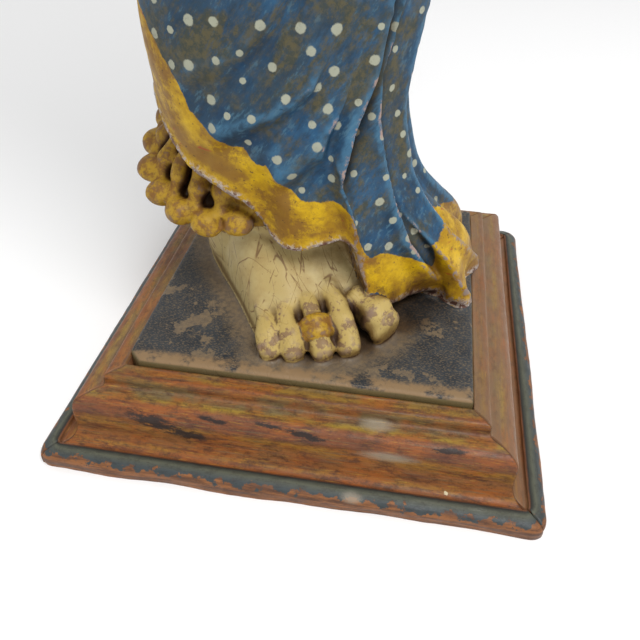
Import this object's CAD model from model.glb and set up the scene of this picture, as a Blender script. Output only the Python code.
"""Looks of a carved and painted wooden attendant statue on its moulded plinth."""
import math

import bpy
import numpy as np
from mathutils import Matrix, Vector, kdtree, noise
from mathutils.bvhtree import BVHTree


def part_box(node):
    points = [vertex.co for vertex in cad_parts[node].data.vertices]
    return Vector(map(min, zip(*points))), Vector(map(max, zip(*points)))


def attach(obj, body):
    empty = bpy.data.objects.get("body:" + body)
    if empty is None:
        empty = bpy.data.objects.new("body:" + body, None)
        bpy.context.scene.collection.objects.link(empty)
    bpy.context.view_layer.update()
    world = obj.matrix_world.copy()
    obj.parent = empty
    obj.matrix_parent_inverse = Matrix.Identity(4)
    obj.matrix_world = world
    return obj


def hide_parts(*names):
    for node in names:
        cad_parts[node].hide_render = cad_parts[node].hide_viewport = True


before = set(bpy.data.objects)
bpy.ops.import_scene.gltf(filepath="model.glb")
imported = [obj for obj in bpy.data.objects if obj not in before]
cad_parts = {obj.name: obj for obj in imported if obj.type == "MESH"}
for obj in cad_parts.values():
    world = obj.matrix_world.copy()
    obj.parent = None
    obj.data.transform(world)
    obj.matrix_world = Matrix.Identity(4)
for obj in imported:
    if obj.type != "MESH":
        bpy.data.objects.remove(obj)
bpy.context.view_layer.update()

MM = 0.001

# Block and mouldings, with the sizes of the solids
BLOCK_WIDTH = 180 * MM
BLOCK_HEIGHT = 47 * MM
BLOCK_EDGE_WEAR = 1.6 * MM
BLOCK_CLEARANCE = 0.3 * MM
CORNER_CHIP = 9 * MM
SEAT_GAP = 0.3 * MM
MITRE_GAP = 0.4 * MM
STANDS_PROUD = 4.5 * MM
NOSING_WIDTH = 9.5 * MM
NOSING_RISE = 7 * MM
NOSING_ROUND = 3 * MM
QUIRK_WIDTH = 5.5 * MM
OVOLO_WIDTH = 8.5 * MM
OVOLO_RISE = 17.5 * MM
CAVETTO_WIDTH = 7 * MM
GROOVE_HEIGHT = 8 * MM
GROOVE_DEPTH = 2.7 * MM
TORUS_WIDTH = 11 * MM

# Figure: shares of U, which comes from the height of the frame's own solid. The knot's flat top lies a
# little under the top of its ball.
FIGURE_SHARES = 5.4
KNOT_RADIUS = 0.14
KNOT_SINK = KNOT_RADIUS * (1 - math.cos(math.pi / 6))
lowest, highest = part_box("carved_figure")
U = (highest[2] - lowest[2] - BLOCK_HEIGHT) / (FIGURE_SHARES - KNOT_SINK)
SUNK = 0.03
HEM_ON_BLOCK = 0.02

# Camera: the photograph's own view, solved from the square block and the mitres
FRAME_PIXELS = 640
FOCAL_PIXELS = 635.8
SENSOR = 36.0
CAMERA_AT = (0.04795, -0.3062, 0.28038)
CAMERA_YAW = math.radians(-9.14)
CAMERA_PITCH = math.radians(41.19)
CAMERA_ROLL = math.radians(0.56)

PAINTS = ("robe", "skin", "gold", "block", "sash", "hair", "lip", "trim")


def smooth(start, end, value):
    t = np.clip((value - start) / (end - start), 0, 1)
    return t * t * (3 - 2 * t)


def noise_at(points, scale, seed=0.0):
    shift = Vector((seed, seed * 1.7, -seed))
    return np.array([noise.noise(Vector(p) * scale + shift) for p in points])


# Robe, from the same sizes as the solid. The hem's points are x, y and lift over the block
HEM_POINTS = np.array([
    [-0.40, 0.10, 0.68],
    [-0.44, -0.06, 0.67],
    [-0.42, -0.16, 0.61],
    [-0.35, -0.22, 0.50],
    [-0.28, -0.24, 0.45],
    [-0.22, -0.25, 0.42],
    [-0.16, -0.24, 0.37],
    [-0.11, -0.22, 0.28],
    [-0.04, -0.22, 0.25],
    [0.03, -0.20, 0.27],
    [0.09, -0.17, 0.28],
    [0.125, -0.19, 0.19],
    [0.15, -0.19, 0.10],
    [0.19, -0.19, 0.06],
    [0.24, -0.17, 0.05],
    [0.30, -0.12, 0.04],
    [0.355, -0.06, 0.02],
    [0.40, -0.09, 0.01],
    [0.45, -0.105, 0.01],
    [0.478, -0.03, 0.0],
    [0.46, 0.04, 0.0],
    [0.49, 0.11, 0.0],
    [0.488, 0.19, 0.0],
    [0.44, 0.24, 0.0],
    [0.46, 0.32, 0.0],
    [0.40, 0.38, 0.0],
    [0.33, 0.37, 0.0],
    [0.28, 0.43, 0.0],
    [0.19, 0.42, 0.0],
    [0.12, 0.37, 0.0],
    [0.05, 0.42, 0.0],
    [-0.04, 0.39, 0.03],
    [-0.10, 0.34, 0.10],
    [-0.18, 0.35, 0.22],
    [-0.27, 0.31, 0.38],
    [-0.34, 0.22, 0.55],
])
HEM_TENSION = 0.6
HEM_MIDDLE = (0.02, 0.04)
CROWDING = 0.075
CROWDED_AT = 0.42
FOLD_WINDOW = 4
FOLD_STEP = 1 / 56

# Each level of the body: its height, the x and y of its middle, half its width and half its depth
BODY_LEVELS = np.array([
    [0.0, 0.02, 0.04, 0.34, 0.32],
    [0.63, -0.105, -0.02, 0.312, 0.29],
    [1.35, -0.06, -0.03, 0.36, 0.30],
    [2.1, -0.05, -0.02, 0.42, 0.31],
    [2.75, -0.04, 0.0, 0.47, 0.33],
    [3.15, -0.02, 0.0, 0.35, 0.26],
    [3.45, 0.0, -0.01, 0.38, 0.28],
    [3.85, 0.01, -0.01, 0.43, 0.29],
    [4.08, 0.01, 0.0, 0.43, 0.26],
    [4.22, 0.01, 0.0, 0.37, 0.22],
    [4.34, 0.01, 0.0, 0.27, 0.185],
    [4.44, 0.01, -0.01, 0.18, 0.155],
    [4.52, 0.01, -0.01, 0.14, 0.135],
])
FLARE_HEIGHT = 0.46
FLARE_POWER = 1.1
LEAN_POWER = 1.5
RAISED_HEM_HOLDS = 0.2
RAISED_HEM_FADE = 2.2
FOLD_HOLDS = 1.6
FOLD_REACH = 3.1
FOLD_DEPTH = 0.95
FOLD_EASE = 0.2
FOLD_GATHER = 0.5
GATHER_ANGLE = -0.8
COLUMNS = 448
SKIRT_TOP = 3.05
SKIRT_LEVELS = np.concatenate([np.linspace(0.012, 0.9, 120), np.linspace(0.91, SKIRT_TOP, 150)])

# Rings under the hem: the share of its reach, the share of its lift kept, and the height over that
UNDERSIDE = ((0.42, 0, -SUNK), (0.92, 1, 0.015), (1.0, 1, 0.0))
TORSO_COLUMNS = 120
TORSO_SPAN = (3.1, 4.52)
DRAPE = 0.01
DRAPE_FADE = (3.3, 4.1)
NECKLINE = 4.33
COLLAR_BEHIND = 0.03
HEM_ROLL = 0.008
HEM_ROLL_HEIGHT = 0.02
FOLD_FADE = 2
NOTCH_FADE = 22
STEADY_COLUMNS = 9

# Three sharp pleats, each with how far its lip stands out, how deep the valley beside it is, and its path
# of heights and degrees
LIP_SPREAD = 6
DROP_WIDTH = 2.0
VALLEY_SPREAD = 4.5
PLEATED = (-78, 12)
PLEATED_EASE = 12
PLEATS = (
    (0.024, 0.060, np.array([
        [0.28, -70], [0.41, -66], [0.55, -52], [0.63, -45.5],
        [0.74, -39], [1.1, -33], [1.8, -26], [3, -20],
    ])),
    (0.026, 0.033, np.array([
        [0.05, -15], [0.18, -28.5], [0.27, -34], [0.46, -31.5],
        [0.74, -31.5], [1.1, -22], [1.8, -12], [3, -4],
    ])),
    (0.026, 0.035, np.array([
        [0.05, 9], [0.15, -2.4], [0.23, -9], [0.39, -9], [0.74, -8], [1.1, 0], [1.8, 9], [3, 14],
    ])),
)

# Shallow valleys that fan up over the front, each with its depth, its width and its path of degrees and
# heights
CREASES = (
    (0.02, 0.032, np.array([
        [-135, 0.52], [-120, 0.57], [-91, 0.62], [-76, 0.66], [-66, 0.71], [-56, 0.84], [-48, 1.1],
    ])),
    (0.022, 0.034, np.array([
        [-104, 0.43], [-85, 0.48], [-67, 0.54], [-55, 0.61], [-49, 0.71], [-44, 0.9], [-38, 1.2],
    ])),
    (0.016, 0.045, np.array([
        [-135, 0.68], [-120, 0.71], [-100, 0.76], [-85, 0.84], [-70, 1.0], [-60, 1.3],
    ])),
    (0.016, 0.07, np.array([
        [-150, 0.95], [-125, 1.0], [-95, 1.15], [-75, 1.5], [-66, 2.0],
    ])),
)
CREASE_RIDGE = 0.7
CREASE_RIDGE_AT = 1.2
CREASE_STARTS = 0.2
CREASE_FADES = 0.75
PLEAT_FADE = (0.08, 0.5)

# Upper edge of the yellow border: the share of the way round the hem, and the height above the hem
BORDER = np.array([
    [0, 0.25], [0.085, 0.24], [0.1, 0.192], [0.123, 0.18], [0.147, 0.161], [0.181, 0.221], [0.205, 0.275],
    [0.237, 0.169], [0.257, 0.146], [0.283, 0.13], [0.292, 0.10], [0.373, 0.206], [0.411, 0.169],
    [0.44, 0.109], [0.491, 0.221], [0.525, 0.236], [0.59, 0.3], [0.66, 0.22], [0.8, 0.24], [1, 0.25],
])
DOT_SPACING = 15 * MM
DOT_CLEARANCE = 9.5 * MM
DOT_RADIUS = 2.0 * MM


def hem_at(shares):
    total = len(HEM_POINTS)
    place = (shares % 1) * total
    start = np.floor(place).astype(int)
    t = (place - start)[:, None]
    p0, p1, p2, p3 = (HEM_POINTS[(start + k) % total] for k in (-1, 0, 1, 2))
    m1 = HEM_TENSION * (p2 - p0)
    m2 = HEM_TENSION * (p3 - p1)
    curve = p1 + m1 * t + (-3 * p1 + 3 * p2 - 2 * m1 - m2) * t ** 2
    return curve + (2 * p1 - 2 * p2 + m1 + m2) * t ** 3


def hem_reach(points):
    away = points[:, :2] - HEM_MIDDLE
    return np.hypot(away[:, 0], away[:, 1]), np.unwrap(np.arctan2(away[:, 1], away[:, 0]))


def body_at(height):
    levels = BODY_LEVELS[:, 0]
    above = np.clip(np.searchsorted(levels, height), 1, len(levels) - 1)
    low, high = BODY_LEVELS[above - 1], BODY_LEVELS[above]
    share = np.clip((height - low[..., 0]) / (high[..., 0] - low[..., 0]), 0, 1)
    eased = share * share * (3 - 2 * share) * 0.5 + share * 0.5
    values = low[..., 1:] + (high[..., 1:] - low[..., 1:]) * eased[..., None]
    return values[..., 0], values[..., 1], values[..., 2], values[..., 3]


def ring_faces(rows, columns, closed_rows=False):
    j = np.arange(rows if closed_rows else rows - 1)[:, None]
    i = np.arange(columns)[None, :]
    following = (i + 1) % columns
    upper = (j + 1) % rows
    corners = (j * columns + i, j * columns + following, upper * columns + following, upper * columns + i)
    return np.stack([np.broadcast_to(c, (len(j), columns)) for c in corners], -1).reshape(-1, 4)


class Part:
    """A closed skin with its paint. The robe's skin also has each point's height over its border."""

    def __init__(self, rings, paint, closed_rows=False):
        self.rings = rings
        rows, columns, _ = rings.shape
        self.points = rings.reshape(-1, 3)
        self.faces = [tuple(face) for face in ring_faces(rows, columns, closed_rows)]
        self.paint = np.full(len(self.points), PAINTS.index(paint))
        self.over_border = np.full(len(self.points), 0.5)
        self.over_hem = np.full(len(self.points), 2.0)
        self.dotted = False
        if not closed_rows:
            last = (rows - 1) * columns
            self.faces.append(tuple(range(columns - 1, -1, -1)))
            self.faces.append(tuple(range(last, last + columns)))


def pleat_at(degrees, height, hold):
    """How far the sharp pleats stand out or sink in, their valleys held back by a share."""
    total = np.zeros(len(degrees))
    for lip, valley, path in PLEATS:
        past = degrees - np.interp(height, path[:, 0], path[:, 1])
        spread = np.where(past < 0, LIP_SPREAD, DROP_WIDTH)
        sunk = smooth(0, DROP_WIDTH, past) * np.exp(-np.maximum(past - DROP_WIDTH, 0) / VALLEY_SPREAD)
        total += lip * np.exp(-(past / spread) ** 2) - valley * hold * sunk
    return total


def crease_at(degrees, height):
    """Valleys with a soft ridge along their upper side."""
    total = np.zeros(len(degrees))
    for deep, wide, path in CREASES:
        along = (degrees - path[0, 0]) / (path[-1, 0] - path[0, 0])
        ends = smooth(0, CREASE_STARTS, along) * (1 - smooth(CREASE_FADES, 1, along))
        past = (height - np.interp(degrees, path[:, 0], path[:, 1])) / wide
        total += ends * deep * (CREASE_RIDGE * np.exp(-(past - CREASE_RIDGE_AT) ** 2) - np.exp(-past ** 2))
    return total


def skirt_part():
    step = np.arange(COLUMNS) / COLUMNS
    share = step - CROWDING * np.sin(2 * math.pi * (step - CROWDED_AT))
    hem = hem_at(share)
    reach, angle = hem_reach(hem)
    spans = range(-FOLD_WINDOW, FOLD_WINDOW + 1)
    even = sum(hem_reach(hem_at(share + k * FOLD_STEP))[0] for k in spans) / len(spans)
    fold = reach - even
    lift = hem[:, 2]

    # Above the hem the folds no longer turn back under themselves
    ends = STEADY_COLUMNS // 2
    steady = np.maximum.accumulate(angle)
    steady = np.concatenate([steady[-ends:] - 2 * math.pi, steady, steady[:ends] + 2 * math.pi])
    steady = np.convolve(steady, np.ones(STEADY_COLUMNS) / STEADY_COLUMNS, "valid")
    rings = []
    for part, hold, raised in UNDERSIDE:
        z = np.where(lift < HEM_ON_BLOCK, -SUNK, lift * hold + raised)
        x = HEM_MIDDLE[0] + part * reach * np.cos(angle)
        y = HEM_MIDDLE[1] + part * reach * np.sin(angle)
        rings.append(np.stack([x, y, z], -1))
    for level in SKIRT_LEVELS:
        low = 1 - smooth(0, FLARE_HEIGHT, level)
        z = level + lift * (1 - smooth(RAISED_HEM_HOLDS, RAISED_HEM_FADE, level))
        x, y, wide, deep = body_at(z)
        gather = FOLD_GATHER * smooth(0, 0.5, level) * (1 - 0.5 * smooth(0.8, FOLD_REACH, level))
        turn = steady + (angle - steady) * low ** NOTCH_FADE
        turn = turn - gather * np.sin(turn - GATHER_ANGLE)
        degrees = (np.degrees(turn) + 180) % 360 - 180
        pleated = smooth(PLEATED[0], PLEATED[0] + PLEATED_EASE, degrees)
        pleated = pleated * (1 - smooth(PLEATED[1] - PLEATED_EASE, PLEATED[1], degrees))
        around = 1 / np.hypot(np.cos(turn) / wide, np.sin(turn) / deep)
        held = low ** np.where(fold < 0, NOTCH_FADE, FOLD_FADE)
        folds = fold * FOLD_DEPTH * (1 - FOLD_EASE * (1 - low)) * (1 - pleated * (1 - held))
        carved = folds + pleat_at(degrees, z, smooth(*PLEAT_FADE, level)) + crease_at(degrees, z)
        out = around + np.maximum(even - around, 0) * low ** FLARE_POWER
        out = out + carved * (1 - smooth(FOLD_HOLDS, FOLD_REACH, level))
        out = out + HEM_ROLL * np.exp(-(level / HEM_ROLL_HEIGHT) ** 2)
        x = x + (HEM_MIDDLE[0] - x) * low ** LEAN_POWER
        y = y + (HEM_MIDDLE[1] - y) * low ** LEAN_POWER
        rings.append(np.stack([x + out * np.cos(turn), y + out * np.sin(turn), z], -1))
    part = Part(np.array(rings), "robe")
    border = np.interp(share % 1, BORDER[:, 0], BORDER[:, 1])
    above = np.concatenate([np.zeros(len(UNDERSIDE)), SKIRT_LEVELS])[:, None]
    part.over_border = (above - border[None, :]).ravel()
    part.over_hem = np.broadcast_to(above, (len(above), COLUMNS)).ravel()
    part.dotted = True
    return part


def torso_part():
    angle = np.linspace(0, 2 * math.pi, TORSO_COLUMNS, endpoint=False)
    rings = []
    rows = [(SASH_HEIGHT - 0.06, 0.9)] + [(height, 1) for height in np.linspace(*TORSO_SPAN, 70)]
    for height, share in rows:
        x, y, wide, deep = body_at(np.float64(height))
        drape = DRAPE * np.sin(9 * angle + 3 * height) * (1 - smooth(*DRAPE_FADE, height))
        reach = share / np.hypot(np.cos(angle) / wide, np.sin(angle) / deep) + drape
        at = [x + reach * np.cos(angle), y + reach * np.sin(angle), np.full(TORSO_COLUMNS, height)]
        rings.append(np.stack(at, -1))
    part = Part(np.array(rings), "robe")
    over_neckline = part.points[:, 2] > NECKLINE
    behind = part.points[:, 1] > COLLAR_BEHIND
    part.paint[over_neckline] = PAINTS.index("skin")
    part.paint[over_neckline & behind] = PAINTS.index("trim")
    part.dotted = True
    return part


# Foot, in its own frame: forward from the middle of the block, across towards the big toe. Each section
# is its place forward and across, half its width and its height
FOOT_TURN = math.radians(28)
FOOT_SECTIONS = (
    (-0.47, -0.17, 0.05, 0.10),
    (-0.45, -0.17, 0.11, 0.20),
    (-0.36, -0.16, 0.16, 0.30),
    (-0.2, -0.13, 0.2, 0.42),
    (-0.04, -0.1, 0.215, 0.37),
    (0.1, -0.085, 0.215, 0.26),
    (0.2, -0.085, 0.21, 0.17),
    (0.26, -0.09, 0.195, 0.12),
    (0.3, -0.1, 0.17, 0.06),
)

# Each toe: forward, across and height of its root, forward and across of its tip, and radius
TOES = (
    (0.2, -0.255, 0.085, 0.335, -0.272, 0.036),
    (0.22, -0.2, 0.1, 0.362, -0.21, 0.034),
    (0.24, -0.135, 0.11, 0.385, -0.132, 0.036),
    (0.22, -0.06, 0.125, 0.39, -0.05, 0.039),
    (0.25, 0.01, 0.085, 0.36, 0.075, 0.058),
)
RINGED_TOE = 2
TOES_FROM = 0.2
TOES_TO = 0.3
RING_PROUD = 1.25
TOE_LUMPS = 0.22
BEAD_LUMPS = 0.3

# Shares of the way along the toe, with shares of its radius
TOE_PROFILE = (
    (0, 0.84), (0.3, 0.78), (0.52, 0.88), (0.68, 1.03), (0.85, 0.96), (1, 0.98), (1.12, 0.72), (1.18, 0.4),
)
RING_PROFILE = ((0.44, 0.85), (0.48, 1), (0.55, 1.03), (0.62, 0.94), (0.69, 1.03), (0.77, 1), (0.82, 0.85))
ANKLET = {"x": -0.28, "y": 0.02, "z": 0.42, "radius": 0.24, "tilt": 0.47, "bead": 0.045}
BEAD_COUNT = 17
BEADS = range(5, 14)
SMALL_BEAD_IN = 0.045
SMALL_BEAD_UP = 0.055
ANKLE_RADIUS = 0.18


def foot_place(forward, across, height):
    sine, cosine = math.sin(FOOT_TURN), math.cos(FOOT_TURN)
    x = forward * sine + across * cosine
    y = -forward * cosine + across * sine
    return np.stack(np.broadcast_arrays(x, y, height), -1)


ACROSS = (1, 0, 0)
BACKWARD = (0, 1, 0)
UPWARD = (0, 0, 1)


def spline_rows(rows, per_span):
    """Rows of numbers joined by a Catmull-Rom spline, with per_span rows to each span."""
    rows = np.asarray(rows, float)
    padded = np.vstack([2 * rows[0] - rows[1], rows, 2 * rows[-1] - rows[-2]])
    result = []
    for k in range(len(rows) - 1):
        p0, p1, p2, p3 = padded[k:k + 4]
        for t in np.arange(per_span) / per_span:
            result.append(0.5 * (2 * p1 + (p2 - p0) * t + (2 * p0 - 5 * p1 + 4 * p2 - p3) * t ** 2
                                 + (3 * p1 - p0 - 3 * p2 + p3) * t ** 3))
    result.append(rows[-1])
    return np.array(result)


def foot_part():
    angle = np.linspace(0, 2 * math.pi, 72, endpoint=False)
    rings = []
    for forward, across, wide, high in spline_rows(FOOT_SECTIONS, 8):
        rise = np.sin(angle)
        spread = np.sign(np.cos(angle)) * np.abs(np.cos(angle)) ** 0.7
        tendons = 0.003 * np.cos(4 * math.pi * spread) * smooth(-0.1, 0.15, forward)
        lift = np.where(rise < 0, -SUNK, (high + tendons) * np.maximum(rise, 0) ** 0.8)
        rings.append(foot_place(forward, across + wide * spread, lift))
    return Part(np.array(rings), "skin")


def limb(stations, paint, side=ACROSS, sides=24, per_span=6, shape=None):
    """A round limb through rows of x, y, z, half width and half depth.

    The width lies along side, or along three more numbers in each row.
    """
    rows = spline_rows(stations, per_span)
    path, wide, deep = rows[:, :3], rows[:, 3:4], rows[:, 4:5]
    side = rows[:, 5:8] if rows.shape[1] > 5 else np.broadcast_to(side, path.shape)
    along = np.gradient(path, axis=0)
    along /= np.linalg.norm(along, axis=1, keepdims=True)
    side = side - along * np.sum(side * along, 1, keepdims=True)
    side /= np.linalg.norm(side, axis=1, keepdims=True)
    across = np.cross(along, side)
    angle = np.linspace(0, 2 * math.pi, sides, endpoint=False)[None, :]
    share = np.linspace(0, 1, len(rows))[:, None]
    grow = np.ones((len(rows), sides)) if shape is None else shape(angle, share)
    flat = (wide * grow * np.cos(angle))[:, :, None] * side[:, None]
    thick = (deep * grow * np.sin(angle))[:, :, None] * across[:, None]
    return Part(path[:, None] + flat + thick, paint)


def ball(radius, at, paint, stretch=(1, 1, 1), sides=24, rows=14, ridges=0, ridge=0.0):
    tilt = math.pi * (1 - np.arange(1, rows) / rows)[:, None]
    angle = np.linspace(0, 2 * math.pi, sides, endpoint=False)[None, :]
    ridged = radius * (1 + ridge * np.sin(ridges * angle + 3 * np.cos(tilt)))
    rings = np.stack(np.broadcast_arrays(
        at[0] + stretch[0] * ridged * np.sin(tilt) * np.cos(angle),
        at[1] + stretch[1] * ridged * np.sin(tilt) * np.sin(angle),
        at[2] + stretch[2] * radius * np.cos(tilt),
    ), -1)
    return Part(rings, paint)


def lumpy(part, share, scale=20):
    """The same skin with its rings swollen and pinched here and there."""
    rows, columns, _ = part.rings.shape
    middle = part.rings.mean(1, keepdims=True)
    swell = noise_at(part.points, scale, len(part.points) % 7).reshape(rows, columns, 1)
    part.rings = middle + (part.rings - middle) * (1 + share * swell)
    part.points = part.rings.reshape(-1, 3)
    return part


def toe_stations(toe, profile, proud=1.0):
    root_forward, root_across, root_high, tip_forward, tip_across, radius = toe
    side = foot_place(0, 1, 0)
    stations = []
    for share, grow in profile:
        at = foot_place(
            root_forward + (tip_forward - root_forward) * share,
            root_across + (tip_across - root_across) * share,
            root_high + (radius * 0.8 - root_high) * min(share, 1) ** 1.6,
        )
        stations.append([*at, radius * grow * proud, radius * grow * proud, *side])
    return stations


def toe_parts():
    parts = [lumpy(limb(toe_stations(toe, TOE_PROFILE), "skin", sides=32), TOE_LUMPS) for toe in TOES]
    parts.append(limb(toe_stations(TOES[RINGED_TOE], RING_PROFILE, RING_PROUD), "gold", sides=32))
    return parts


def ankle_part():
    x, y, radius = ANKLET["x"], ANKLET["y"], ANKLE_RADIUS
    return limb([
        [x + 0.06, y + 0.03, 0.1, radius * 0.95, radius * 0.95],
        [x + 0.04, y + 0.02, 0.3, radius, radius],
        [x + 0.04, y, 0.48, radius, radius],
        [x + 0.08, y, 0.8, radius, radius],
    ], "skin", sides=40)


def anklet_place(index, inward=0.0, up=0.0):
    angle = 2 * math.pi * (index + 0.5) / BEAD_COUNT
    radius = ANKLET["radius"] - inward
    y = ANKLET["y"] + radius * math.sin(angle)
    height = ANKLET["z"] + ANKLET["tilt"] * (y - ANKLET["y"])
    return np.array([ANKLET["x"] + radius * math.cos(angle), y, height + up])


def anklet_parts():
    """A band, a row of large beads along it and, between them, stems that rise to small beads."""
    section = ((-0.05, -0.045), (-0.025, -0.02), (-0.05, 0.01), (-0.1, 0.03))
    steps = np.arange(4 * BEAD_COUNT) / 4
    rings = np.array([[anklet_place(step, -out, up) for step in steps] for out, up in section])
    parts = [Part(rings, "gold")]
    for index in BEADS:
        parts.append(lumpy(ball(ANKLET["bead"], anklet_place(index), "gold", (1.06, 1.06, 0.9)), BEAD_LUMPS))
        foot = anklet_place(index + 0.5, 0.012, 0.008)
        bead = anklet_place(index + 0.5, SMALL_BEAD_IN, SMALL_BEAD_UP)
        parts.append(lumpy(limb([
            [*foot, 0.028, 0.028],
            [*(foot * 0.45 + bead * 0.55), 0.023, 0.023],
            [*bead, 0.031, 0.031],
            [*(2 * bead - foot), 0.022, 0.022],
        ], "gold", UPWARD, sides=18, per_span=5), BEAD_LUMPS))
    return parts


def block_part():
    half = (BLOCK_WIDTH / 2 - BLOCK_CLEARANCE) / U
    wear = BLOCK_EDGE_WEAR / U
    chip = CORNER_CHIP / U
    top = BLOCK_HEIGHT / U

    def plan(size, height, cut):
        corners = [(-size + cut, -size), (size, -size), (size, size), (-size, size), (-size, -size + cut)]
        return [(x, y, height - top) for x, y in corners]

    rings = [plan(half, 0, chip * 0.4), plan(half, top - wear, chip * 0.8), plan(half - wear, top, chip)]
    return Part(np.array(rings), "block")


SASH_HEIGHT = 3.02
HEAD_BOTTOM = 4.5
HEAD_TOP = 5.27
HEAD_WIDE = 0.25
HEAD_DEEP = 0.29
HEAD_Y = -0.06
KNOT_TOP = 5.4
EYE_SHARE = 0.5
EYE_X = 0.1
EYE_FRONT = HEAD_Y - HEAD_DEEP + 0.052


def cloth_band(height_at, half_height, proud, paint):
    angle = np.linspace(0, 2 * math.pi, 180, endpoint=False)
    section = ((-0.04, 1), (proud, 0.7), (proud * 0.85, 0.35), (proud * 1.2, 0), (proud * 0.85, -0.35),
               (proud, -0.7), (-0.04, -1))
    rows = []
    for out, share in section:
        height = height_at(angle) + share * half_height
        x, y, wide, deep = body_at(height)
        reach = out + 1 / np.hypot(np.cos(angle) / wide, np.sin(angle) / deep)
        rows.append(np.stack([x + reach * np.cos(angle), y + reach * np.sin(angle), height], -1))
    return Part(np.array(rows).transpose(1, 0, 2), paint, closed_rows=True)


def sash_parts():
    parts = [
        cloth_band(lambda angle: SASH_HEIGHT + 0.04 * np.cos(angle), 0.09, 0.035, "sash"),
        ball(0.085, (0.08, -0.31, SASH_HEIGHT), "sash", (1, 0.8, 0.8), ridges=7, ridge=0.05),
    ]
    for from_x, to_x, to_z in ((0.13, 0.19, 2.2), (0.03, -0.03, 2.38)):
        parts.append(limb([
            [from_x, -0.29, SASH_HEIGHT, 0.05, 0.03],
            [from_x, -0.345, SASH_HEIGHT - 0.2, 0.055, 0.03],
            [to_x, -0.345, (SASH_HEIGHT + to_z) / 2 - 0.1, 0.07, 0.028],
            [to_x, -0.325, to_z, 0.085, 0.028],
        ], "sash", sides=48, shape=lambda angle, share: 1 - 0.16 * np.cos(6 * angle) ** 2))
    return parts


# The collar's path from the nape to the sash, as degrees round the body and heights
COLLAR = (
    (78, 4.5), (20, 4.42), (-20, 4.36), (-50, 4.16), (-72, 3.9), (-88, 3.6), (-100, 3.3), (-108, 3.06),
)


def collar_part(side):
    stations = []
    for degrees, height in COLLAR:
        angle = math.radians(degrees)
        x, y, wide, deep = body_at(np.float64(height))
        at = [x + side * math.cos(angle) * wide, y + math.sin(angle) * deep, height]
        stations.append([*at, 0.03, 0.06, side * math.cos(angle), math.sin(angle), 0])
    return limb(stations, "trim", sides=16)


SLEEVE_RIM = 0.8
SLEEVE_HOLLOW = 0.06


def sleeve_part(side):
    rows = [
        [0.3, 0.01, 4.2, 0.11, 0.1, 0],
        [0.4, 0.01, 4.13, 0.14, 0.13, 0],
        [0.46, 0.01, 3.95, 0.15, 0.14, 0],
        [0.485, 0.0, 3.65, 0.155, 0.145, 0.15],
        [0.48, -0.03, 3.42, 0.18, 0.14, 0.5],
        [0.42, -0.13, 3.29, 0.22, 0.12, 0.85],
        [0.32, -0.26, 3.27, 0.27, 0.1, 1],
        [0.21, -0.37, 3.3, 0.32, 0.075, 1],
    ]
    stations = []
    for x, y, z, wide, deep, upright in rows:
        turned = upright * math.pi / 2
        stations.append([side * x, y, z, wide, deep, 0, math.cos(turned), -math.sin(turned)])
    sleeve = limb(stations, "robe", sides=96, per_span=10, shape=lambda angle, share: (
        1 - 0.05 * smooth(0.3, 0.8, share) * (1 + np.sin(7 * angle + 5 * share))
    ))
    end = sleeve.rings[-1]
    middle = end.mean(0)
    back = sleeve.rings[-4].mean(0) - middle
    back = back / np.linalg.norm(back) * SLEEVE_HOLLOW
    mouth = middle + (end - middle) * SLEEVE_RIM
    rings = np.concatenate([sleeve.rings, [mouth, mouth + back, middle + (mouth - middle) * 0.6 + back]])
    part = Part(rings, "robe")
    rows_of_trim = np.zeros(rings.shape[:2], bool)
    rows_of_trim[-14:] = True
    part.paint[rows_of_trim.ravel()] = PAINTS.index("trim")
    part.dotted = True
    return part


def finger_grooves(angle, share):
    across = np.cos(angle)
    groove = sum(np.exp(-((across - place) / 0.09) ** 2) for place in (-0.5, 0.0, 0.5))
    return 1 - 0.3 * groove * smooth(0.35, 0.5, share)


def arm_parts(side):
    forearm = limb([
        [side * 0.28, -0.3, 3.4, 0.07, 0.07, 0, 0.5, 1],
        [side * 0.15, -0.37, 3.52, 0.07, 0.07, 0, 0.5, 1],
        [side * 0.055, -0.4, 3.7, 0.055, 0.055, 0, 0.5, 1],
    ], "skin")
    palm = limb([
        [side * 0.05, -0.4, 3.66, 0.06, 0.045],
        [side * 0.038, -0.42, 3.75, 0.085, 0.045],
        [side * 0.032, -0.435, 3.85, 0.085, 0.036],
        [side * 0.027, -0.45, 3.97, 0.07, 0.03],
        [side * 0.024, -0.455, 4.06, 0.045, 0.026],
    ], "skin", BACKWARD, sides=64, per_span=10, shape=finger_grooves)
    thumb = limb([
        [side * 0.045, -0.36, 3.7, 0.03, 0.03],
        [side * 0.035, -0.345, 3.8, 0.027, 0.027],
        [side * 0.03, -0.355, 3.9, 0.02, 0.02],
    ], "skin", BACKWARD)
    return [collar_part(side), sleeve_part(side), forearm, palm, thumb]


def head_height(share):
    return HEAD_BOTTOM + (HEAD_TOP - HEAD_BOTTOM) * share


def head_part():
    tilt = math.pi * (1 - np.arange(1, 48) / 48)[:, None]
    angle = np.linspace(0, 2 * math.pi, 80, endpoint=False)[None, :]
    height = 0.5 + 0.5 * np.cos(tilt)
    jaw = 0.8 + 0.2 * smooth(0, 0.5, height)
    swell = np.sin(tilt) ** 0.8
    back = np.where(np.sin(angle) > 0, 0.55 + 0.45 * smooth(0, 0.55, height), 1)
    sockets = sum(
        np.exp(-((np.cos(angle) - side * 0.42) / 0.2) ** 2) for side in (-1, 1)
    ) * np.exp(-((height - EYE_SHARE) / 0.07) ** 2) * (np.sin(angle) < 0)
    rings = np.stack(np.broadcast_arrays(
        HEAD_WIDE * jaw * swell * np.cos(angle),
        HEAD_Y + (HEAD_DEEP * swell * back - 0.014 * sockets) * np.sin(angle),
        head_height(height),
    ), -1)
    return Part(rings, "skin")


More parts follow.
